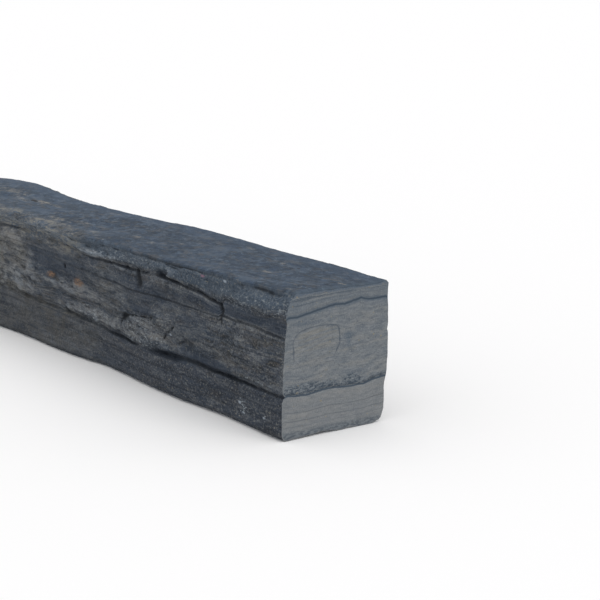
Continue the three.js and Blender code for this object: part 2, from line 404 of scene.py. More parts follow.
# %% [markdown]
# ## The marks of this one stone
#
# Noise gives the kind of surface. What makes it this post is a few larger marks near its better end:
# a big pale spall above the main seam, a smooth dark hollow further along, ledges and pockets. Each
# is placed by its distance from the sawn end and its bed height. A spall leans: its head is cut
# deeper than its foot, so that the foot catches the light and the head lies under a sharp lip.
# %% Spalls and ledges
# Place, bed height, half length and half height of each mark, how far it stands out, how much
# further out its foot is than its middle, and its tone, from -1 for dark to 1 for pale. All but the
# tone are in mm. The tone is partly the rock's own colour and partly painted light and shade: dark
# in hollows, pockets and on the bed that overhangs the main seam, pale where a face stands out or
# tilts up.
FRONT_MARKS = [
    (226, 53, 43, 19, -0.4, 2.4, 0.55),          # the big spall
    (205, 46, 26, 6, 0.9, 0.0, 0.0),
    (180, 44, 55, 7, 2.6, 0.0, -0.4),            # the bed that overhangs the main seam
    (50, 99, 66, 6.5, -1.2, 0.0, -0.9),          # the smooth band under the upper seam
    (115, 45, 42, 7, 1.6, 0.0, -0.8),
    (62, 60, 34, 15, 0.8, -0.3, 0.2),
    (140, 72, 30, 13, -1.0, 0.6, -0.6),
    (120, 97, 45, 8, 0.0, 0.0, -0.4),
    (70, 114, 45, 8, 0.0, 0.0, -0.35),
    (256, 62, 12, 6, -1.2, 0.0, -0.9),           # pockets at the head of the spall
    (226, 72, 24, 4.5, -0.6, 0.0, -0.9),
    (215, 90, 60, 14, -1.4, -0.8, -0.6),
    (193, 110, 9, 3.5, -3.5, 0.0, -0.9),         # a notch in the upper seam
    (320, 112, 27, 2.6, 1.5, -0.4, 0.9),         # a pale ledge
    (320, 99, 52, 8, -1.3, 0.0, -0.2),
    (398, 86, 60, 13, -2.8, -1.0, -0.7),         # the smooth dark hollow
    (330, 47, 44, 8, 0.7, 0.3, 0.6),
    (445, 54, 40, 12, 0.5, 0.0, 0.1),
    (430, 60, 95, 15, 0.0, 0.0, 0.15),
    (350, 68, 48, 6, 1.0, 0.4, 0.55),
    (505, 72, 66, 31, 2.2, 0.4, 0.63),           # the pale swelling
    (22, 124.5, 12, 2.2, -1.2, 0.0, -0.6),
    (86, 15, 50, 9, -0.9, -0.5, 0.1),
    (330, 20, 60, 9, -1.0, 0.5, 0.0),
    (640, 80, 60, 20, -2.0, 1.2, 0.5),
    (760, 60, 50, 15, -1.8, 1.0, 0.4),
]
print(len(FRONT_MARKS), "marks, the longest", 2 * max(mark[2] for mark in FRONT_MARKS), "mm long")

# %% [markdown]
# A patch is an ellipse round a mark's middle. Noise makes its edge ragged, and it stops at the main
# seam, because what breaks above a seam leaves the bed below it whole.
# %% Lay the marks on the front
PALE_EDGE, DARK_EDGE = 0.2, 0.7          # how softly a mark ends, in half sizes
CALM = 0.8                               # how much of the roughness a dark smooth mark takes away


def ragged_patch(at, height, along, up, seed, edge=PALE_EDGE):
    """1 inside a patch of the side, 0 outside it and past the main seam, with a ragged edge."""
    reach = np.hypot((place - at) / along, (bed - height) / up)
    reach += 0.3 * rock_noise((11, 9, 8), 20 + seed, octaves=2)
    above_seam = ease(MAIN_SEAM - 1.5, MAIN_SEAM, bed)
    return ease(1 + edge, 1 - edge, reach) * (above_seam if height > MAIN_SEAM else 1 - above_seam)


marks_out = np.zeros_like(place)
tone = np.zeros_like(place)
for number, (at, height, along, up, out, lean, shade) in enumerate(FRONT_MARKS):
    edge = DARK_EDGE if shade < 0 else PALE_EDGE
    patch = ragged_patch(at, height, along, up, seed=number, edge=edge) * front
    marks_out += patch * (out + lean * (height - bed) / up)
    # the tone goes into the colour: partly the rock's own, partly painted light and shade
    tone += shade * patch
roughness_out *= 1 - CALM * np.clip(-tone, 0, 1)
print("the marks move the front", marks_out.min().round(1), "to", marks_out.max().round(1), "mm")

# %% [markdown]
# A seam is where two beds have let go of each other. Weather opens it into a groove. How open each
# seam is changes along the post, so the thin ones come and go. Along the better end of the front
# that was drawn; elsewhere a noise decides.
# %% How open each seam is
DRAWN_LENGTH = 600                       # mm of the front, from the better end
SEAM_NEAR = 6.0                          # mm to either side of a seam that take its openness

# How open the seams of the front are, from 0 to 1, at places along the post.
MAIN_OPEN = [(0, 0.8), (60, 0.9), (100, 0.95), (200, 1), (210, 0.2), (234, 0.2), (250, 1), (290, 0.9),
             (310, 0.5), (360, 0.35), (600, 0.3)]
UPPER_OPEN = [(0, 0.15), (93, 0.2), (99, 1), (196, 1), (205, 0.3), (236, 0.3), (246, 1), (296, 1),
              (325, 0.5), (350, 0.05), (450, 0.05), (470, 0.6), (505, 0.6), (530, 0.2), (600, 0.2)]
THIN_OPEN = [(0, 0.3), (14, 0.9), (95, 0.9), (105, 0.4), (130, 0.4), (142, 0.9), (300, 0.9), (335, 0.3),
             (600, 0.4)]


def openness(drawn, seed):
    """How open a seam is at every point, as drawn on the front and by a noise elsewhere."""
    drawn_here = np.interp(place, *zip(*drawn))
    by_noise = 0.1 + 0.9 * ease(-0.3, 0.3, rock_noise((50, 60, 300), seed, octaves=4))
    share = front * ease(DRAWN_LENGTH, DRAWN_LENGTH - 60, place)
    return by_noise + share * (drawn_here * (0.7 + 0.3 * by_noise) - by_noise)


main_open = openness(MAIN_OPEN, 31)
upper_open = openness(UPPER_OPEN, 33)
thin_open = openness(THIN_OPEN, 36)
seam_open = np.select(
    [np.abs(bed - MAIN_SEAM) < SEAM_NEAR, np.abs(bed - UPPER_SEAM) < SEAM_NEAR],
    [main_open, upper_open], thin_open)
print("the main seam is open over", round(float((main_open > 0.7).mean() * 100)), "% of its length")

# %% [markdown]
# The grooves follow from that. Where water hangs on the underside of the bed above the main seam,
# it has gnawed a shallow hollow too. The material paints that hollow dark, as painted shade.
# %% Grooves of the seams
THIN_SHARES = (0.75, 0.3, 0.3, 0.25)     # how open the grooves of THIN_SEAMS are, from 0 to 1
SEAM_HALF_WIDTH = 1.4
MAIN_DEPTH, UPPER_DEPTH, THIN_DEPTH, GNAWED_DEPTH = 1.6, 1.5, 0.8, 0.8      # mm
GNAWED = [(99, 146, 0.2), (161, 212, 0.9), (258, 280, 0.6)]      # from, to, and how deep, 0 to 1


def groove(height, half_width):
    """1 in the middle of a groove along the beds, 0 at its lips."""
    return np.clip(1 - np.abs(bed - height) / half_width, 0, 1)


def between(start, end, fade=12):
    """1 along one stretch of the post and 0 beyond it."""
    return ease(start - fade, start + fade, place) * ease(end + fade, end - fade, place)


main_groove = groove(MAIN_SEAM, SEAM_HALF_WIDTH) * main_open
upper_groove = groove(UPPER_SEAM, SEAM_HALF_WIDTH) * upper_open
thin_groove = sum(share * groove(height, SEAM_HALF_WIDTH)
                  for height, share in zip(THIN_SEAMS, THIN_SHARES))
thin_groove = thin_groove * thin_open

gnawed_length = sum(depth * between(start, end) for start, end, depth in GNAWED)
gnawed_length = gnawed_length * front + (1 - front) * ease(0.1, 0.4, rock_noise((60, 60, 300), 39))
gnawed_length *= ease(-0.7, 0.0, rock_noise((12, 9, 5), 40, octaves=3))
gnawed = ease(MAIN_SEAM + 4, MAIN_SEAM + 1, bed) * ease(MAIN_SEAM - 6, MAIN_SEAM - 2, bed) * gnawed_length

seams_out = -MAIN_DEPTH * main_groove - UPPER_DEPTH * upper_groove
seams_out = seams_out - THIN_DEPTH * thin_groove - GNAWED_DEPTH * gnawed
seams_out *= front + (1 - front) * ease(4, 30, from_end)
print("the seams are up to", -seams_out.min().round(1), "mm deep")

# %% [markdown]
# A crack across the beds is a short line. The distance of every point to that line makes its groove.
# %% Cracks across the beds
# Start and end of each crack as (place, bed height), and half its width, in mm.
CRACKS = [
    ((101, 107), (94, 98), 2.6),
    ((94, 98), (93, 86), 3.0),
    ((240, 108), (236, 103), 3.4),
    ((236, 103), (232, 98), 5.6),
    ((166, 67), (168, 65), 1.8),
    ((168, 65), (179, 59), 1.0),
    ((179, 59), (187, 53), 1.3),
    ((272, 53), (266, 59), 1.5),
    ((266, 59), (257, 63), 3.6),
    ((257, 63), (238, 66), 1.0),
    ((238, 66), (205, 69), 0.7),
    ((377, 88), (377, 86), 2.6),
]
CRACK_REACH = 4.0                        # half widths past which a point knows no crack
CRACK_BEND = 1.2                         # mm that a crack strays from its line
CRACK_DEPTH = 2.2


def crack(start, end, half_width):
    """Distance from a line between two (place, bed height) points of the front: 1 at its lips."""
    run, rise = end[0] - start[0], end[1] - start[1]
    share = ((place - start[0]) * run + (bed - start[1]) * rise) / (run * run + rise * rise)
    share = np.clip(share, 0, 1)
    bend = CRACK_BEND * rock_noise((7, 7, 5), 41)
    away = np.hypot(place - start[0] - share * run + bend, bed - start[1] - share * rise)
    return np.where(front, away / half_width, CRACK_REACH)


crack_far = np.full_like(place, CRACK_REACH)
for start, end, half_width in CRACKS:
    crack_far = np.minimum(crack_far, crack(start, end, half_width))
cracks = ease(1, 0, crack_far)
print("cracks touch", int((cracks > 0.3).sum()), "points")

# %% [markdown]
# ## Worn edges
#
# Where the riven top meets a broken side, the top sheet ends in a thin lip, and the rock below it
# leans in and crumbles, so a rough strip catches the light under the lip. The groove under the lip is
# also painted dark in the material, as painted shade. All the wear is measured by the distance from
# an edge: the length round the outline from each shoulder, and the place along the post.
# %% Lip and strip
LIP_BELOW = 0.3                          # mm that the lip lies below the shoulder
LIP_HALF_WIDTH, LIP_DEPTH = 1.6, 1.1
LIP_OPEN = [(0, 0), (20, 0.2), (27, 1), (46, 1), (58, 0.2), (125, 0.1), (140, 0.9), (190, 0.9), (205, 0.8),
            (262, 0.8), (285, 0), (600, 0)]
STRIP_LEAN = 2.4                         # mm that the top of the strip leans in

arc = np.linalg.norm(np.roll(skin, -1, axis=1) - skin, axis=2).mean(0).cumsum()
from_front_shoulder = np.abs(arc - arc[front_shoulder])
from_back_shoulder = np.abs(arc - arc[back_shoulder])

off_front_lip = np.abs(arc - arc[front_shoulder] + LIP_BELOW)
off_back_lip = np.abs(arc - arc[back_shoulder] - LIP_BELOW)
lip_open = openness(LIP_OPEN, 53) * ease(2, 12, from_end)
lip_width = LIP_HALF_WIDTH * (0.4 + lip_open)
lip = np.clip(1 - np.minimum(off_front_lip, off_back_lip) / lip_width, 0, 1) * lip_open

strip = ease(UPPER_SEAM, TOP_BED, bed) * broken * front * (0.3 + 0.7 * ease(0, 30, from_end))
strip_lean = STRIP_LEAN * strip * (1 - 0.8 * ease(290, 360, place) * ease(620, 560, place))
edges_out = -strip_lean - LIP_DEPTH * lip
print("the strip leans in by up to", strip_lean.max().round(1), "mm")

# %% [markdown]
# Shoulders also lose bites here and there. The sawn ends are newer: their edges are crisp, with small
# chips, and only the upper one has been rubbed round. Further along, the worn round is full of pits.
# %% Bites, chips and pits
BITE_REACH, BITE_DEPTH = 8.0, 0.8
BACK_BITES = 0.3                         # how deep they are on the back, where the front's are 1
CHIP_REACH, CHIP_DEPTH = 5.0, 1.0
END_RADIUS = 1.8
PIT_REACH = (14, 30)                     # mm from the shoulder: pitted up to here, smooth from here
WORN_DOWN, PIT_DEPTH = 0.3, 2.0
SOFT_END = 0.3                           # mm that the last 3 mm by the saw cut draw in
SET_IN = 2.5                             # mm that the back of the lowest bed stands in at the end

bites = ease(0.0, 0.8, rock_noise((38, 60, 300), 51, octaves=3)) * ease(0, 40, from_end)
front_bites = np.exp(-(from_front_shoulder / BITE_REACH) ** 2)
bites *= front_bites + BACK_BITES * np.exp(-(from_back_shoulder / BITE_REACH) ** 2)
chips = ease(0.2, 0.8, rock_noise((300, 9, 9), 52, octaves=2)) * ease(CHIP_REACH, 0, from_end)
short = np.clip(1 - from_end / END_RADIUS, 0, 1)
worn_end = END_RADIUS * (1 - np.sqrt(1 - short * short)) * ease(0.3, 0.9, outward[..., 1])
edges_out = edges_out - BITE_DEPTH * bites - CHIP_DEPTH * chips - worn_end

pitted = between(*PITTED, ROUND_FADE) * front * ease(PIT_REACH[1], PIT_REACH[0], from_front_shoulder)
pits = np.clip(rock_noise((13, 10, 7), 55, octaves=3, gain=0.6), 0, 1)
edges_out -= pitted * (WORN_DOWN + PIT_DEPTH * pits)

low_bed_back = (side > 0) * broken * ease(MAIN_SEAM, MAIN_SEAM - 6, bed)
edges_out -= SOFT_END * ease(3, 0, from_end) + SET_IN * low_bed_back * ease(90, 30, place)
print("worn edges move", edges_out.min().round(1), "to", edges_out.max().round(1), "mm")

# %% [markdown]
# Now everything is added, each part on the faces it belongs to, and every point moves out along the
# outline's own outward direction. The stone lies on the ground, so no point goes below it.
# %% Move the skin
side_out = roughness_out + marks_out + seams_out - CRACK_DEPTH * cracks
moved_out = broken * side_out + (1 - broken) * smoothness_out + edges_out
stone = skin + outward * moved_out[..., None]
stone[..., 1] = np.maximum(stone[..., 1], 0)
print("points move", moved_out.min().round(1), "to", moved_out.max().round(1), "mm")

# %% [markdown]
# ## The sawn ends
#
# An end has to meet the skin point for point, so its edge is the skin's own first or last outline.
# Inside it, a Delaunay triangulation joins that ragged edge to an even spread of points, which a
# plain fan of triangles would not. Three rows of points follow each seam, and the middle row is set
# back a little, because a saw leaves the seams as fine grooves. Across the stone the seams wander.
# Their waves were drawn for the better end, and the other end has them the other way round.
# %% Seams across an end
# How far each seam lies above a straight line, at places across the end, in mm.
MAIN_WAVES = [(-60, 2.2), (-46, -0.5), (-33, -1.5), (-10, 0), (3, -1.5), (28, -3.3), (41, -0.6), (56, 0)]
UPPER_WAVES = [(-54, 0.8), (-42, 0.2), (-23, 2.3), (-11, 3.5), (-2, 4), (7, 2.5), (25, 5), (34, 2),
               (54, 0.8)]


def end_marks(station, y):
    """The marks of bed_marks on an end, with the seams' waves."""
    main, upper, top = bed_marks(station, y)
    turned = y if station == 0 else -y
    main = main + np.interp(turned, *zip(*MAIN_WAVES))
    upper = upper + np.interp(turned, *zip(*UPPER_WAVES))
    return main, upper, top


print("the main seam meets the front at", round(float(end_marks(0, stone[0, :, 0].min())[0]), 1), "mm")

# %% [markdown]
# The spread of points is a grid, shaken a little so that no long straight rows show, and cleared
# round the seams and along the edge.
# %% Fill an end
END_STEP = {0: 2.2, -1: 5.0}             # mm between points, on the better and on the other end
SHAKE, SHAKE_WAVE = 0.25, 1.7            # of a step, and radians per mm
SEAM_STEP = 1.5                          # mm between points along a seam
SEAM_LIP = 1.3                           # mm from a seam's middle to its lips
CLEAR = 0.6                              # of a step that is kept free round seams and edge


def end_cap(station, step):
    """Points (y, z) inside an end, and triangles over the outline's points and these."""
    outline = stone[station]
    low, high = outline.min(0), outline.max(0)
    ys, zs = np.meshgrid(np.arange(low[0], high[0], step), np.arange(low[1], high[1], step))
    spread = np.stack([ys, zs], -1).reshape(-1, 2)
    spread += SHAKE * step * np.sin(spread[:, ::-1] * SHAKE_WAVE)
    rows = []
    along = np.arange(low[0], high[0], SEAM_STEP)
    for seam in end_marks(station, along)[:2]:
        rows += [np.stack([along, seam + lip], -1) for lip in (-SEAM_LIP, 0, SEAM_LIP)]
        off = np.abs(spread[:, 1] - np.interp(spread[:, 0], along, seam))
        spread = spread[off > SEAM_LIP + CLEAR * step]
    inside = np.concatenate([spread, *rows])
    away = np.array([np.hypot(*(outline - point).T).min() for point in inside])
    inside = inside[away > CLEAR * step]
    count = len(outline)
    edge = [(k, (k + 1) % count) for k in range(count)]
    points = [Vector(point) for point in np.concatenate([outline, inside])]
    result = geometry.delaunay_2d_cdt(points, edge, [], 1, 1e-4)
    origin = [sources[0] if sources else None for sources in result[3]]
    used = sorted({k for face in result[2] for k in face if origin[k] >= count})
    number = {k: count + n for n, k in enumerate(used)}
    triangles = [[number.get(k, origin[k]) for k in face] for face in result[2]]
    return np.array([result[0][k] for k in used]), triangles


caps = {station: end_cap(station, step) for station, step in END_STEP.items()}
print("the ends hold", [len(triangles) for _, triangles in caps.values()], "triangles")

# %% [markdown]
# The skin is a grid of four-sided faces, closed round the outline. The triangles of the ends come
# after them, so a face's number tells later which finish it takes.
# %% Join the ends to the skin
SEAM_CUTS = {MAIN_SEAM: 0.8, UPPER_SEAM: 0.5}      # mm that a seam is set back into the end
CUT_HALF_WIDTH = 0.5


def facing(corners, points, sign):
    """Corners of a triangle, turned so that it faces along +X for sign 1 or -X for sign -1."""
    (y0, z0), (y1, z1), (y2, z2) = points[corners]
    turn = (y1 - y0) * (z2 - z0) - (y2 - y0) * (z1 - z0)
    return corners if turn * sign > 0 else corners[::-1]


stations, ring = place.shape
xs = cad_high.x / MM - place
vertices = [np.dstack([xs, stone]).reshape(-1, 3)]
beds = [bed.ravel()]
lower = np.arange((stations - 1) * ring)
upper = lower - lower % ring + (lower + 1) % ring
faces = np.stack([lower, upper, upper + ring, lower + ring], -1).tolist()
skin_faces = len(faces)
total = stations * ring
for station, (inside, triangles) in caps.items():
    sign = 1 if station == 0 else -1
    points = np.concatenate([stone[station], inside])
    first_on_skin = station % stations * ring
    for corners in triangles:
        corners = facing(corners, points, sign)
        faces.append([k + first_on_skin if k < ring else k - ring + total for k in corners])
    height = bed_height(end_marks(station, inside[:, 0]), inside[:, 1])
    cut = sum(depth * np.clip(1 - np.abs(height - seam) / CUT_HALF_WIDTH, 0, 1)
              for seam, depth in SEAM_CUTS.items())
    vertices.append(np.column_stack([xs[station, 0] - sign * cut, inside]))
    beds.append(height)
    total += len(inside)
vertices = np.concatenate(vertices)
beds = np.concatenate(beds)
print(len(vertices), "points,", len(faces) + skin_faces, "triangles")

# %% [markdown]
# ## What the surface knows about itself
#
# A finish depends on where it is: a fresh break is paler than an old one, and the sheets show only
# on broken sides. These facts are stored on the points as attributes, which a material reads by name.
# The hollow of a point is how far it lies below the blurred surface around it. The material paints
# hollows darker, as painted shade, and raised points (proud) paler, as a painted highlight.
# %% Hollow and proud
HOLLOW_SCALE = 1.6                       # mm below the surface around it that count as 1
BLUR = 3                                 # points to each side


def blurred(values, width):
    """A mean over a square of the skin, wrapped round the outline and held at the ends."""
    kernel = np.ones(2 * width + 1) / (2 * width + 1)
    wrapped = np.pad(values, ((width, width), (0, 0)), mode="edge")
    wrapped = np.pad(wrapped, ((0, 0), (width, width)), mode="wrap")
    rows = np.apply_along_axis(np.convolve, 1, wrapped, kernel, mode="valid")
    return np.apply_along_axis(np.convolve, 0, rows, kernel, mode="valid")


hollow = (blurred(moved_out, BLUR) - moved_out) / HOLLOW_SCALE * (1 - 0.7 * pitted)
print("hollows run from", hollow.min().round(2), "to", hollow.max().round(2))

# %% [markdown]
# Small coloured marks lie where this stone has them: pale mica flecks, lime and lichen on the top,
# and single spots of rust, quartz and garnet. Tables give their places, and a ragged patch spreads
# each one. A few more lie on the rest of the post, so that it isn't bare.
# %% Flecks, streaks and spots
# Place, bed height, half length, half height and strength of each patch of pale flecks.
FLECKY = [(45, 112, 75, 6.5, 0.55), (330, 47, 36, 9, 0.6), (228, 50, 42, 17, 0.8), (36, 44, 30, 3, 1),
          (62, 17, 9, 7, 1), (27, 15, 4, 3, 1), (316, 112, 36, 4, 1), (240, 117, 60, 6, 0.5)]

# Place, distance from the middle, half length, half width and strength of each streak of the top.
CREAM = [(620, 14, 40, 6, 0.6), (575, 3, 16, 4, 0.9), (536, 12, 20, 4.5, 1), (508, 11, 10, 3, 0.6),
         (490, -35, 9, 3, 0.4), (470, -4, 8, 3, 0.5), (446, -22, 18, 4, 1), (406, -14, 16, 4, 0.6),
         (431, 36, 12, 5, 0.4), (384, 10, 8, 3, 0.4), (360, -30, 8, 3, 0.4), (320, -46, 6, 3, 0.6),
         (300, -14, 8, 2, 0.6), (261, -22, 7, 2, 0.8), (238, -3, 4, 2, 0.5), (172, 32, 6, 2.5, 0.4),
         (142, 4, 6, 2.5, 0.4), (120, -45, 6, 2, 0.8), (104, 19, 5, 2, 0.6), (86, -12, 6, 2.5, 0.8),
         (74, -52, 3, 2, 1), (22, -27, 6, 2, 0.6), (14, -41, 4, 2, 0.5), (9, 10, 5, 2, 1),
         (800, -20, 20, 4, 0.8), (1120, 14, 26, 5, 0.8), (1300, -8, 18, 4, 0.7)]
SCRATCHES = [(557, 8, 10, 2.5, 1), (80, 18, 3, 2.5, 1), (50, 6, 8, 1.5, 0.9), (40, 12, 8, 1.5, 0.9),
             (980, -10, 12, 2, 0.8)]

# Place, bed height, half length and half height of each spot of rust, chip of quartz and garnet.
SPOTS = {
    "rust": [(352, 76, 7, 3.6), (404, 73, 6, 2.4), (690, 60, 7, 3), (905, 90, 7, 3)],
    "quartz": [(93, 123.5, 3, 1.4), (170, 60, 2, 1), (66, 20, 2.5, 1.2), (60, 12, 3, 1),
               (27, 15, 2.5, 1.2)],
    "garnet": [(127, 122, 3, 1.3)],
}


def top_streaks(streaks):
    """Strength of all the ragged streaks of a table of the top."""
    total = np.zeros_like(place)
    for at, y, along, wide, strength in streaks:
        reach = np.hypot((place - at) / along, (side - y) / wide)
        reach += 0.6 * rock_noise((10, 6, 60), at, octaves=3)
        total += strength * ease(1.2, 0.4, reach)
    return total * (1 - broken) * (bed > UPPER_SEAM)


flecky = np.zeros_like(place)
for number, (at, height, along, up, strength) in enumerate(FLECKY):
    flecky += strength * ragged_patch(at, height, along, up, 60 + number, edge=0.5) * front
spots = {name: sum(ragged_patch(*spot, seed=70 + spot[0], edge=0.6) * front for spot in listed)
         for name, listed in SPOTS.items()}
print(len(FLECKY), "flecked patches and", sum(len(listed) for listed in SPOTS.values()), "spots")

# %% [markdown]
# Old breaks have weathered to a dull brown, in broad clouds. Near the better end the front shows
# where: on the lower bed past the spall, and on the swelling. With that, all the skin's facts are
# known.
# %% Facts for the skin
weathered = ease(-0.4, 0.4, rock_noise((120, 60, 36), 64, octaves=2)) * ease(0, 300, from_end)
low_bed = ease(MAIN_SEAM + 4, MAIN_SEAM - 2, bed) * ease(240, 400, place)
drawn_weathered = np.maximum(low_bed, ease(440, 480, place) * ease(104, 92, bed))
share = front * ease(DRAWN_LENGTH, DRAWN_LENGTH - 80, place)
weathered = weathered + share * (drawn_weathered - weathered)
crisp = (1 - 0.6 * ease(120, 420, from_end)) * (1 - 0.7 * np.clip(-tone, 0, 1))
lumps = ease(-0.4, 0.4, rock_noise((18, 12, 10), 57, octaves=3))
rough = broken + 0.8 * pitted * (lumps - broken)
skin_facts = {
    "broken": rough,
    "riven": 1 - rough,
    # hollow is painted dark as shade, and proud pale as a painted highlight
    "hollow": np.clip(hollow, 0, None),
    "proud": np.clip(-hollow, 0, None),
    "open": seam_open * np.maximum(broken, 0.4),
    "crack_far": crack_far,
    # the groove under the lip is also painted dark in the material, as painted shade
    "lip": lip,
    # the gnawed hollow is also painted dark in the material, as painted shade
    "gnawed": gnawed,
    # pale and dark lay the marks' tone: partly the rock's own colour, partly painted light and shade
    "pale": np.clip(tone, 0, 1) * broken,
    "dark": np.clip(-tone, 0, 1) * np.maximum(broken, 0.5),
    "strip": strip,
    "flecky": np.clip(flecky, 0, 1),
    "pitted": pitted,
    "weathered": weathered,
    "crisp": crisp,
    "cream": top_streaks(CREAM),
    "scratch": top_streaks(SCRATCHES),
    **spots,
}
print("the skin has", len(skin_facts), "facts")

# %% [markdown]
# A sawn end shows the inside of the rock. A lens of other rock shows as a dark arch, open below.
# A superellipse, an ellipse with a higher power, has the right squarish round, and one leg is tucked
# in. It is drawn for the better end and turned round for the other.
# %% The arch of the ends
ARCH_MIDDLE = np.array([-22, 77])        # mm: across, and up
ARCH_REACH = np.array([24, 17.5])
ARCH_POWERS = (3.0, 5.5)                 # rounder on its left, squarer on its right
ARCH_TUCK = 0.5                          # how far its right leg leans in, per mm down
ARCH_LEGS = (66, 72)                     # heights between which the legs fade away
RIPPLE_MM, RIPPLE_OUT = 7, 1.3

in_ends = vertices[stations * ring:]
end_beds = beds[stations * ring:]
across = in_ends[:, 1] * np.sign(in_ends[:, 0])
below = np.maximum(ARCH_MIDDLE[1] - in_ends[:, 2], 0) * (across > ARCH_MIDDLE[0])
spot = (np.column_stack([across + ARCH_TUCK * below, in_ends[:, 2]]) - ARCH_MIDDLE) / ARCH_REACH
spot[:, 1] = np.maximum(spot[:, 1], 0)
power = np.where(spot[:, 0] < 0, *ARCH_POWERS)
arch = (np.sum(np.abs(spot) ** power[:, None], axis=1) ** (1 / power) - 1) * ARCH_REACH.min()
ripple = [noise.fractal((y / RIPPLE_MM, z / RIPPLE_MM, 3.7), 1.0, 2.0, 3)
          for y, z in in_ends[:, 1:].tolist()]
ripple = np.array(ripple)
arch += RIPPLE_OUT * ripple
arch_seen = ease(*ARCH_LEGS, in_ends[:, 2]) * (0.6 + 0.4 * ease(-0.4, 0.2, ripple))
print("the arch spans", ARCH_REACH[0] * 2, "mm")

# %% [markdown]
# Above the main seam lies a band that was crushed when the beds slid, and smudges of chlorite lie
# here and there.
# %% Facts for the sawn ends
# How high the crushed band reaches above the main seam, at places across the end, in mm.
CRUSHED = [(-58, 6), (-40, 9), (-14, 7), (3, 3), (9, 8), (16, 10), (23, 7), (30, 1), (45, 3), (56, 2)]

# Middle (y, z), half width, half height and strength of each smudge.
SMUDGES = [
    (-36, 100, 18, 4, 0.8),
    (10, 84, 8, 4, 0.7),
    (12, 76, 3.5, 7, 0.7),
    (22, 96, 16, 6, 0.35),
    (24, 88, 9, 7, 0.25),
    (-50, 88, 6, 14, 0.4),
    (-2, 100, 14, 4, 0.4),
    (36, 70, 12, 8, 0.3),
    (-30, 56, 22, 4, 0.3),
]

crush_top = MAIN_SEAM + np.interp(across, *zip(*CRUSHED))
smudge = np.zeros(len(in_ends))
for y, z, half_width, half_height, strength in SMUDGES:
    far = ((across - y) / half_width) ** 2 + ((in_ends[:, 2] - z) / half_height) ** 2
    smudge += strength * np.exp(-far)
end_facts = {
    "sawn": np.ones(len(in_ends)),
    "high": ease(116, 120, end_beds),
    "foot": ease(10, 3, in_ends[:, 2]),
    "in_arch": ease(0, -3, arch) * ease(*ARCH_LEGS, in_ends[:, 2]),
    "arch": arch,
    "arch_seen": arch_seen,
    "crushed": ease(crush_top + 2, crush_top - 1, end_beds) * ease(MAIN_SEAM - 1, MAIN_SEAM, end_beds),
    "smudge": smudge,
    "strands": ease(-0.1, 0.5, ripple),
}
print("the ends have", len(end_facts), "facts")

# %% [markdown]
# ## The post
#
# One mesh holds the whole stone. Its smooth shading is broken only at edges sharper than a set
# angle, so the sawn edges stay crisp. The skin takes the first material and the ends the second.
# %% Make the post
SHARP = math.radians(50)

mesh = bpy.data.meshes.new("post")
mesh.from_pydata((vertices * MM).tolist(), [], faces)
mesh.polygons.foreach_set("use_smooth", [True] * len(faces))
mesh.polygons.foreach_set("material_index", [0] * skin_faces + [1] * (len(faces) - skin_faces))
mesh.set_sharp_from_angle(angle=SHARP)
for name, values in skin_facts.items():
    values = np.append(values.ravel(), np.zeros(len(in_ends)))
    mesh.attributes.new(name, "FLOAT", "POINT").data.foreach_set("value", values)
for name, values in end_facts.items():
    values = np.append(np.zeros(stations * ring), values)
    mesh.attributes.new(name, "FLOAT", "POINT").data.foreach_set("value", values)
rock = np.column_stack([cad_high.x / MM - vertices[:, 0], vertices[:, 1], beds])
mesh.attributes.new("rock", "FLOAT_VECTOR", "POINT").data.foreach_set("vector", rock.ravel())
post = bpy.data.objects.new("schist_post", mesh)
bpy.context.scene.collection.objects.link(post)
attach(post, "root")
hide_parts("post")
print("the post has", len(mesh.vertices), "points and", len(mesh.polygons), "faces")

# %% [markdown]
# ## Helpers for the finishes
#
# A colour is written as the sRGB hex value that a paint program shows, but a shader works in linear
# light, so one function turns it. One more adds a node: its settings, and its inputs as values or as
# the sockets that feed them.
# %% Colours and nodes
def linear(hex_colour):
    """The linear colour, with alpha, of an sRGB hex value."""
    parts = [int(hex_colour[k:k + 2], 16) / 255 for k in (1, 3, 5)]
    return [p / 12.92 if p <= 0.04045 else ((p + 0.055) / 1.055) ** 2.4 for p in parts] + [1]


def add(tree, kind, inputs=(), out=0, **settings):
    """Add a node, link or set its inputs, and return one of its outputs."""
    node = tree.nodes.new(kind)
    for name, value in settings.items():
        setattr(node, name, value)
    for name, value in dict(inputs).items():
        if isinstance(value, bpy.types.NodeSocket):
            tree.links.new(value, node.inputs[name])
        else:
            node.inputs[name].default_value = value
    return node.outputs[out]


print("mid grey #808080 is", round(linear("#808080")[0], 3), "in linear light")

# %% [markdown]
# Stone gets its look from many thin reasons laid over one another: a stain, a pale sheet, a grain.
# So a finish here is a table. Each row lays a colour where a pattern or a fact runs from one value
# to another, so far, and only where some other facts hold. A second table draws lines, where a
# value passes a level, and a third raises the surface a little.
#
# First come the sockets that the tables call by name: the rock's directions, the facts, the
# patterns, and the bed height with a slight wobble, which keeps the drawn lines from being ruled.
# %% What the tables can name
WOBBLE = 1.6                             # mm that the drawn lines stray from the beds
PATTERN_WARP = 0.2


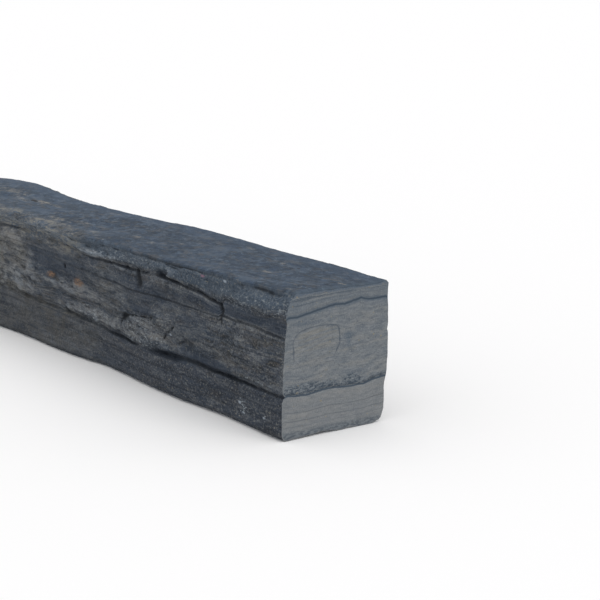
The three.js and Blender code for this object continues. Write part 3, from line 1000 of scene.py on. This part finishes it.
def named_sockets(tree, facts, patterns):
    """Sockets for the rock's directions, the facts, and the patterns of (size in mm, detail, roughness)."""
    rock_socket = add(tree, "ShaderNodeAttribute", attribute_name="rock", out="Vector")
    split = add(tree, "ShaderNodeSeparateXYZ", {0: rock_socket}).node
    known = dict(zip(("along", "across", "bed"), split.outputs))
    for fact in facts:
        known[fact] = add(tree, "ShaderNodeAttribute", attribute_name=fact, out="Fac")
    for pattern, (size, detail, roughness) in patterns.items():
        scaled = add(tree, "ShaderNodeVectorMath", {0: rock_socket, 1: [1 / mm for mm in size]},
                     operation="MULTIPLY")
        known[pattern] = add(tree, "ShaderNodeTexNoise", {
            "Vector": scaled, "Scale": 1.0, "Detail": detail, "Roughness": roughness,
            "Distortion": PATTERN_WARP})
    known["level"] = add(tree, "ShaderNodeMath", {0: known["wobble"], 1: WOBBLE, 2: known["bed"]},
                         operation="MULTIPLY_ADD")
    return known


print("drawn lines stray by up to", WOBBLE, "mm")

# %% [markdown]
# A line is a layer too, on the distance from its level. So lines are turned to layers, and then one
# loop mixes each colour over the ones before it.
# %% Layers of colour
A_COLOUR, B_COLOUR, MIXED_COLOUR = 6, 7, 2      # the Mix node's colour sockets, by number
LINE_SOFTNESS = 0.5                      # mm


def line_layers(tree, known, lines):
    """Layers that draw lines, each where a value lies within a half width of a level."""
    layers = []
    for hex_colour, on, level, half_width, amount, where in lines:
        off = add(tree, "ShaderNodeMath", {0: known[on], 1: level}, operation="SUBTRACT")
        off = add(tree, "ShaderNodeMath", {0: off}, operation="ABSOLUTE")
        outer, inner = half_width + LINE_SOFTNESS, half_width - LINE_SOFTNESS
        layers.append((hex_colour, off, outer, inner, amount, where))
    return layers


def lay_colours(tree, known, base, layers):
    """The base colour with each layer mixed over it in turn."""
    colour = linear(base)
    for hex_colour, value, low, high, amount, where in layers:
        mask = add(tree, "ShaderNodeMapRange", {
            "Value": value, "From Min": low, "From Max": high, "To Min": 0.0, "To Max": amount},
            interpolation_type="SMOOTHSTEP")
        for fact in where:
            mask = add(tree, "ShaderNodeMath", {0: mask, 1: known[fact]}, operation="MULTIPLY")
        colour = add(tree, "ShaderNodeMix", {0: mask, A_COLOUR: colour, B_COLOUR: linear(hex_colour)},
                     out=MIXED_COLOUR, data_type="RGBA")
    return colour


print("the edges of a drawn line fade over", 2 * LINE_SOFTNESS, "mm")

# %% [markdown]
# One function lays a whole finish. The relief is a Bump node: it tilts the light on the surface and
# leaves the mesh alone, which is enough for what stands out by a fraction of a millimetre.
# %% Lay a finish from its tables
BUMP_STRENGTH = 1.0                      # full, so the depth alone says how strong a relief is


def lay_finish(name, base, facts, patterns, layers, lines, relief, depth):
    """A material with patterns sized in mm, layers and lines of colour on a base, and a relief."""
    material = bpy.data.materials.new(name)
    material.use_nodes = True
    tree = material.node_tree
    known = named_sockets(tree, facts, patterns)
    steps = [(hex_colour, known[on], *rest) for hex_colour, on, *rest in layers]
    colour = lay_colours(tree, known, base, steps + line_layers(tree, known, lines))
    height = 0.0
    for on, amount, fact in relief:
        raised = add(tree, "ShaderNodeMath", {0: known[on], 1: amount}, operation="MULTIPLY")
        height = add(tree, "ShaderNodeMath", {0: raised, 1: known[fact], 2: height},
                     operation="MULTIPLY_ADD")
    bump = add(tree, "ShaderNodeBump", {
        "Strength": BUMP_STRENGTH, "Distance": depth * MM, "Height": height})
    shader = tree.nodes["Principled BSDF"]
    tree.links.new(colour, shader.inputs["Base Color"])
    tree.links.new(bump, shader.inputs["Normal"])
    print(name, "has", len(layers) + len(lines), "layers and", len(tree.nodes), "nodes")
    return material, shader.inputs


print("a relief counts at", round(BUMP_STRENGTH * 100), "% of its depth")

# %% [markdown]
# ## Finish: riven and broken schist
#
# The skin is mica schist as the quarry left it. Split along the mica it is blue-grey with a soft
# sheen and fine streaks, and part of that blue is a painted reflection of the sky. Broken across the
# mica it is darker and dull, a salt-and-pepper of grains with thin stripes where the sheets end.
# Cracks are nearly black, and the spalls are pale and warm, partly as fresh rock and partly as
# painted light.
#
# Its patterns are noises with lumps of a real size. Apart from the grains, those of the broken sides
# are long along the beds and short across them, so they come out as stripes. Those of the riven faces
# reach far up through the beds, since such a face stays in one bed.
# %% Patterns of the skin
GRAIN_MM = 2.0                           # real grains are half this, too fine to show

# Size of each pattern along, across and up the beds in mm, its detail and its roughness.
SKIN_PATTERNS = {
    "cloud": ((120, 50, 34), 2, 0.5),
    "mottle": ((34, 22, 9), 4, 0.85),
    "cast": ((30, 20, 7), 4, 0.85),
    "sheets": ((150, 60, 2.4), 2, 0.6),
    "grain": ((GRAIN_MM, GRAIN_MM, GRAIN_MM), 1, 0.6),
    "streak": ((8, 6, 30), 4, 0.85),
    "drift": ((40, 26, 60), 3, 0.75),
    "fleck": ((4.0, 2.4, 1.8), 2, 0.7),
    "blush": ((14, 8, 20), 3, 0.7),
    "wobble": ((9, 12, 60), 2, 0.6),
}
finest = min(min(size) for size, _, _ in SKIN_PATTERNS.values())
print("the skin has", len(SKIN_PATTERNS), "patterns, the finest of", finest, "mm")

# %% [markdown]
# The tones come first, from broad to fine: clouds, what weather and fresh breaks did to the sides,
# the ends of the sheets, and the places that are darker or paler as a whole, which are partly the
# rock's own colour and partly painted shade and painted light.
# %% Tones of the skin
# Colour, the pattern or fact it follows, the values where it starts and is full, how much of it is
# laid, and the facts that have to hold.
SKIN_TONES = [
    # the riven faces' slate blue, partly the rock's own and partly a painted reflection of the sky
    ("#3b4755", "riven", 0, 1, 1.0, ()),
    # broad clouds of slate blue and of graphite
    ("#38424e", "cloud", 0.5, 0.64, 0.5, ()),
    ("#55585b", "cloud", 0.5, 0.36, 0.5, ("broken",)),
    # fresh spalls are pale, partly as painted light; then uneven dull patches, and a brown or a blue cast
    ("#737065", "weathered", 0.0, 1.0, 0.6, ("broken",)),
    ("#86888a", "pale", 0.0, 1.0, 0.65, ()),
    ("#1f2429", "mottle", 0.5, 0.64, 0.85, ("broken",)),
    ("#7b7e80", "mottle", 0.5, 0.36, 0.8, ("broken",)),
    ("#716a59", "drift", 0.5, 0.64, 0.4, ("weathered", "broken")),
    ("#45484d", "drift", 0.5, 0.36, 0.45, ("weathered", "broken")),
    ("#5c554b", "cast", 0.5, 0.64, 0.4, ("broken",)),
    ("#364251", "cast", 0.5, 0.36, 0.5, ("broken",)),
    # thin sheets, dark and light
    ("#24282e", "sheets", 0.54, 0.7, 0.6, ("broken",)),
    ("#75787b", "sheets", 0.44, 0.3, 0.45, ("broken",)),
    # the lower bed, darker toward the foot; the dark marks, partly painted shade in hollows and on
    # the overhanging bed; the rough strip under the lip; and the palest marks, partly painted light
    ("#373d48", "bed", 41, 37, 0.5, ("broken",)),
    ("#1f252d", "bed", 6, 1, 0.5, ("broken",)),
    ("#303a48", "dark", 0.0, 1.0, 0.75, ()),
    ("#4f5b68", "strip", 0.0, 0.2, 0.75, ()),
    ("#a3aeb8", "pale", 0.7, 1.0, 0.4, ()),
]
print("the skin has", len(SKIN_TONES), "tones")

# %% [markdown]
# A riven face has no sheets to show. Its streaks follow the way that the rock was stretched, and
# drifts and blushes of slate blue and brown-grey keep it from being one flat tone. It is bluer toward
# its back edge, and has a pale rim by the saw cut. A painted sheen makes it darker up to 250 mm from
# the better end, fading out by 400 mm, and lighter from 400 mm on, full at 560 mm.
# %% Tones of the riven faces
RIVEN_TONES = [
    ("#62707f", "streak", 0.5, 0.66, 0.9, ("riven",)),
    ("#232c37", "streak", 0.5, 0.34, 0.9, ("riven",)),
    ("#535f6d", "drift", 0.5, 0.66, 0.75, ("riven",)),
    ("#303b47", "drift", 0.5, 0.34, 0.75, ("riven",)),
    ("#5f5d5c", "blush", 0.52, 0.66, 0.5, ("riven",)),
    ("#36475e", "blush", 0.48, 0.34, 0.5, ("riven",)),
    ("#4b5b6f", "across", 22, 56, 0.5, ("riven",)),
    # a painted sheen: lighter far from the better end, darker near it
    ("#69747f", "along", 400, 560, 0.1, ("riven",)),
    ("#2c3642", "along", 400, 250, 0.15, ("riven",)),
    ("#535d67", "along", 5, 0.5, 0.6, ("riven",)),
]
print("the riven faces have", len(RIVEN_TONES), "tones of their own")

# %% [markdown]
# What is small lies over the tones. The painted shade in the hollows, in the gnawed hollow and
# under the lips, and the dark cracks come last, because nothing pale shows inside them.
# %% Grains, spots and cracks
SKIN_DETAILS = [
    # salt and pepper
    ("#1e2227", "grain", 0.52, 0.74, 0.6, ("broken", "crisp")),
    ("#92938f", "grain", 0.46, 0.26, 0.42, ("broken", "crisp")),
    ("#a3a19d", "mottle", 0.5, 0.38, 0.45, ("pale",)),
    ("#2f343b", "mottle", 0.5, 0.62, 0.35, ("pale",)),
    # pale mica flecks, and the crumbs in the pits
    ("#a9b4bd", "fleck", 0.54, 0.68, 0.7, ("flecky",)),
    ("#a29c8c", "fleck", 0.62, 0.72, 0.45, ("broken", "crisp")),
    ("#33363b", "mottle", 0.5, 0.6, 0.6, ("pitted",)),
    ("#8b867a", "mottle", 0.48, 0.38, 0.55, ("pitted",)),
    ("#8d897f", "fleck", 0.5, 0.64, 0.4, ("pitted",)),
    # cream lichen and lime, scratches, and spots of rust, quartz and garnet
    ("#989286", "streak", 0.4, 0.62, 0.8, ("cream",)),
    ("#23211f", "scratch", 0.3, 0.8, 0.8, ()),
    ("#886c55", "fleck", 0.32, 0.54, 0.9, ("rust",)),
    ("#a9b2bb", "quartz", 0.2, 0.9, 0.8, ()),
    ("#8c6c7c", "garnet", 0.2, 0.9, 0.8, ()),
    # painted highlight on raised points, painted shade in the hollows, the pitted round, painted shade
    # in the gnawed hollow and under the lip, and black cracks
    ("#868d94", "proud", 0.2, 0.9, 0.35, ("broken",)),
    ("#1c2128", "hollow", 0.2, 1.1, 0.75, ()),
    ("#6d6d6b", "pitted", 0.0, 1.0, 0.25, ("broken",)),
    ("#1e2530", "gnawed", 0.1, 0.8, 0.7, ()),
    ("#171b20", "lip", 0.2, 0.9, 0.7, ()),
    ("#14181d", "crack_far", 1.3, 0.3, 0.85, ()),
]
print("the skin has", len(SKIN_DETAILS), "layers of detail")

# %% [markdown]
# The seams are lines along the beds, drawn only as far as they are open, and a soft painted shade
# lies just over the main seam, where the bed above overhangs it. The relief is slight, because all
# that is larger is in the mesh.
# %% Riven and broken schist
# Colour, what it follows, its level, half width in mm, how much of it is laid, and where.
SKIN_LINES = [
    # painted shade under the bed that overhangs the main seam
    ("#2d3642", "level", MAIN_SEAM + 2.5, 3.0, 0.45, ("open", "broken")),
    ("#1b2027", "level", MAIN_SEAM, 0.8, 0.95, ("open",)),
    ("#1b2027", "level", UPPER_SEAM, 1.2, 0.95, ("open",)),
]
THIN_LINES = [("#1b2027", 1.0, 1.0), ("#20252c", 0.5, 0.5), ("#20252c", 0.8, 0.65), ("#20252c", 0.6, 0.6)]
for height, (hex_colour, half_width, amount) in zip(THIN_SEAMS, THIN_LINES):
    SKIN_LINES.append((hex_colour, "level", height, half_width, amount, ("open",)))

# Pattern, how high it stands, and the fact that has to hold.
SKIN_RELIEF = [("grain", 0.7, "broken"), ("mottle", 1.8, "broken"), ("streak", 0.6, "riven")]
SKIN_RELIEF_DEPTH = 1.1                  # mm

skin_material, inputs = lay_finish(
    "riven and broken schist", "#4d525a", skin_facts, SKIN_PATTERNS,
    SKIN_TONES + RIVEN_TONES + SKIN_DETAILS, SKIN_LINES, SKIN_RELIEF, SKIN_RELIEF_DEPTH)
# quartz and mica have an IOR of 1.5 to 1.6; a split face is matt, and its dust dulls it further
inputs["Roughness"].default_value = 0.75
inputs["IOR"].default_value = 1.5
inputs["Specular IOR Level"].default_value = 0.2
mesh.materials.append(skin_material)

# %% [markdown]
# ## Finish: sawn schist
#
# A diamond saw leaves the end flat and matt, and cuts the grains so finely that the stone looks
# paler than its skin. The beds show as level stripes, the seams as dark wavy lines with crushed
# grains above the lower one, and a lens of other rock as a thin dark arch.
#
# A cut lies at one place along the post, so its patterns have a size only across and up. Only the
# grains are as long as they are wide.
# %% Patterns of the sawn ends
THROUGH = 400                            # mm along the post, so long that a cut shows no change

SAWN_PATTERNS = {
    "blotch": ((THROUGH, 34, 10), 3, 0.65),
    "mottle": ((THROUGH, 10, 2.6), 4, 0.85),
    "bands": ((THROUGH, 80, 4.2), 3, 0.6),
    "thin": ((THROUGH, 50, 1.7), 3, 0.7),
    "grain": ((1.3, 1.3, 1.3), 1, 0.6),
    "crumb": ((THROUGH, 5.0, 1.9), 2, 0.7),
    "stain": ((THROUGH, 5, 3.6), 1, 0.5),
    "strong": ((THROUGH, 26, 9), 2, 0.5),
    "wobble": ((THROUGH, 9, 60), 3, 0.6),
}
print("the ends have", len(SAWN_PATTERNS), "patterns")

# %% [markdown]
# The tones run from blotches and bands to thin stripes. Over them lie the places that the end's facts
# tell: the arch, the smudges, the beds at the top, a darker rim along the foot, and the crushed band.
# %% Tones of the sawn ends
SAWN_TONES = [
    ("#838483", "blotch", 0.5, 0.62, 0.6, ()),
    ("#6a7179", "blotch", 0.5, 0.36, 0.6, ()),
    ("#8a8883", "bands", 0.52, 0.68, 0.45, ()),
    ("#666d74", "bands", 0.46, 0.32, 0.45, ()),
    ("#575f68", "thin", 0.54, 0.7, 0.5, ()),
    ("#8e8f8e", "thin", 0.46, 0.3, 0.3, ()),
    ("#8c8e8f", "mottle", 0.5, 0.64, 0.65, ()),
    ("#565e66", "mottle", 0.5, 0.36, 0.65, ()),
    ("#8f8a7e", "thin", 0.48, 0.6, 0.4, ("in_arch",)),
    ("#4d5b69", "smudge", 0.15, 1.0, 0.65, ()),
    ("#8d8d8c", "bed", 41, 36, 0.35, ()),
    ("#5c6772", "bed", 106, 112, 0.35, ()),
    ("#4b5867", "bed", 121, 127, 0.8, ()),
    ("#98948b", "thin", 0.44, 0.34, 0.7, ("high",)),
    ("#3c4854", "thin", 0.54, 0.64, 0.6, ("high",)),
    ("#5d6872", "crushed", 0.0, 1.0, 0.4, ()),
    ("#35404c", "crumb", 0.48, 0.58, 0.85, ("crushed",)),
    ("#989c9e", "crumb", 0.42, 0.3, 0.6, ("crushed",)),
    ("#93876a", "stain", 0.7, 0.78, 0.6, ()),
    ("#939492", "grain", 0.45, 0.26, 0.4, ()),
    ("#4d545b", "grain", 0.55, 0.74, 0.4, ()),
    ("#5f6a73", "foot", 0.0, 1.0, 0.4, ()),
    ("#3a444e", "crumb", 0.42, 0.56, 0.65, ("foot",)),
]
print("the ends have", len(SAWN_TONES), "tones")

# %% [markdown]
# Lines draw the two seams with their side strands, a few dark beds that come and go, and the arch.
# %% Sawn schist
SAWN_LINES = [
    ("#3a4652", "level", MAIN_SEAM, 0.75, 0.95, ()),
    ("#3a4652", "level", MAIN_SEAM + 2.6, 0.5, 0.9, ("strands",)),
    ("#3a4652", "level", MAIN_SEAM - 2.0, 0.1, 0.6, ("strands",)),
    ("#56626e", "level", UPPER_SEAM, 2.2, 0.6, ()),
    ("#3a4652", "level", UPPER_SEAM, 0.8, 0.95, ()),
    ("#4a5662", "level", UPPER_SEAM + 2.6, 0.3, 0.7, ("strands",)),
    ("#3b4651", "level", 117.0, 0.3, 1.0, ("strong",)),
    ("#36414c", "level", 121.5, 0.5, 1.0, ("strong",)),
    ("#414c56", "level", 30.5, 0.1, 0.8, ("strong",)),
    ("#3b4651", "level", 25.0, 0.4, 1.0, ("strong",)),
    ("#3b4651", "level", 17.5, 0.3, 1.0, ("strong",)),
    ("#414c56", "level", 12.5, 0.2, 0.8, ("strong",)),
    ("#3b4753", "arch", 0, 0.4, 0.9, ("arch_seen",)),
]
SAWN_RELIEF = [("grain", 0.5, "sawn"), ("thin", 0.3, "sawn")]
SAWN_RELIEF_DEPTH = 0.5                  # mm

sawn_material, inputs = lay_finish(
    "sawn schist", "#74797d", end_facts, SAWN_PATTERNS, SAWN_TONES, SAWN_LINES, SAWN_RELIEF,
    SAWN_RELIEF_DEPTH)
# the same rock, with a little more shine where the blade has smoothed it
inputs["Roughness"].default_value = 0.75
inputs["IOR"].default_value = 1.5
inputs["Specular IOR Level"].default_value = 0.3
mesh.materials.append(sawn_material)

# %% [markdown]
# ## The studio
#
# The stone lies on a pale floor under an even, overcast kind of light, so its own tones do the work.
# The world gives most of the light, brighter from above than from below, which lets the hollows
# under the ledges stay dark. A wide sun from the side of the sawn end draws the relief.
# %% Floor
FLOOR_SIZE = 300.0                       # m, so that its edge is never seen

bpy.ops.mesh.primitive_plane_add(size=FLOOR_SIZE, location=(0, 0, cad_low.z))
floor = bpy.context.object
floor.name = "floor"
floor.visible_diffuse = False            # it throws no light up into the hollows
pale = bpy.data.materials.new("pale painted floor")
pale.use_nodes = True
shader = pale.node_tree.nodes["Principled BSDF"]
shader.inputs["Base Color"].default_value = linear("#fffdfb")
shader.inputs["Roughness"].default_value = 1.0
shader.inputs["Specular IOR Level"].default_value = 0.0
floor.data.materials.append(pale)
print("the floor is", FLOOR_SIZE, "m wide")

# %% [markdown]
# The world's strength follows the upward part of the direction that light comes from. Below the
# horizon it falls, as it would over a dull yard.
# %% Light
ABOVE, BELOW = 0.85, 0.3                 # strength of the world over and under the horizon
HORIZON = (-0.35, -0.02)                 # upward part of the direction where it changes
SUN_STRENGTH = 0.9
SUN_WIDTH = math.radians(50)
SUN_FROM = Vector((0.75, 0.05, 0.65))

world = bpy.data.worlds.new("overcast studio")
world.use_nodes = True
tree = world.node_tree
direction = add(tree, "ShaderNodeTexCoord", out="Generated")
upward = add(tree, "ShaderNodeSeparateXYZ", {0: direction}, out="Z")
strength = add(tree, "ShaderNodeMapRange", {
    "Value": upward, "From Min": HORIZON[0], "From Max": HORIZON[1], "To Min": BELOW, "To Max": ABOVE})
background = tree.nodes["Background"]
background.inputs["Color"].default_value = linear("#fafcff")
tree.links.new(strength, background.inputs["Strength"])
bpy.context.scene.world = world

sun = bpy.data.lights.new("soft sun", "SUN")
sun.energy = SUN_STRENGTH
sun.angle = SUN_WIDTH
sun_object = bpy.data.objects.new("soft sun", sun)
sun_object.rotation_euler = (-SUN_FROM).to_track_quat("-Z", "Y").to_euler()
bpy.context.scene.collection.objects.link(sun_object)
bpy.context.scene.view_settings.view_transform = "Standard"
sun_height = math.degrees(math.atan2(SUN_FROM.z, SUN_FROM.xy.length))
print("the sun stands", round(sun_height), "degrees high")
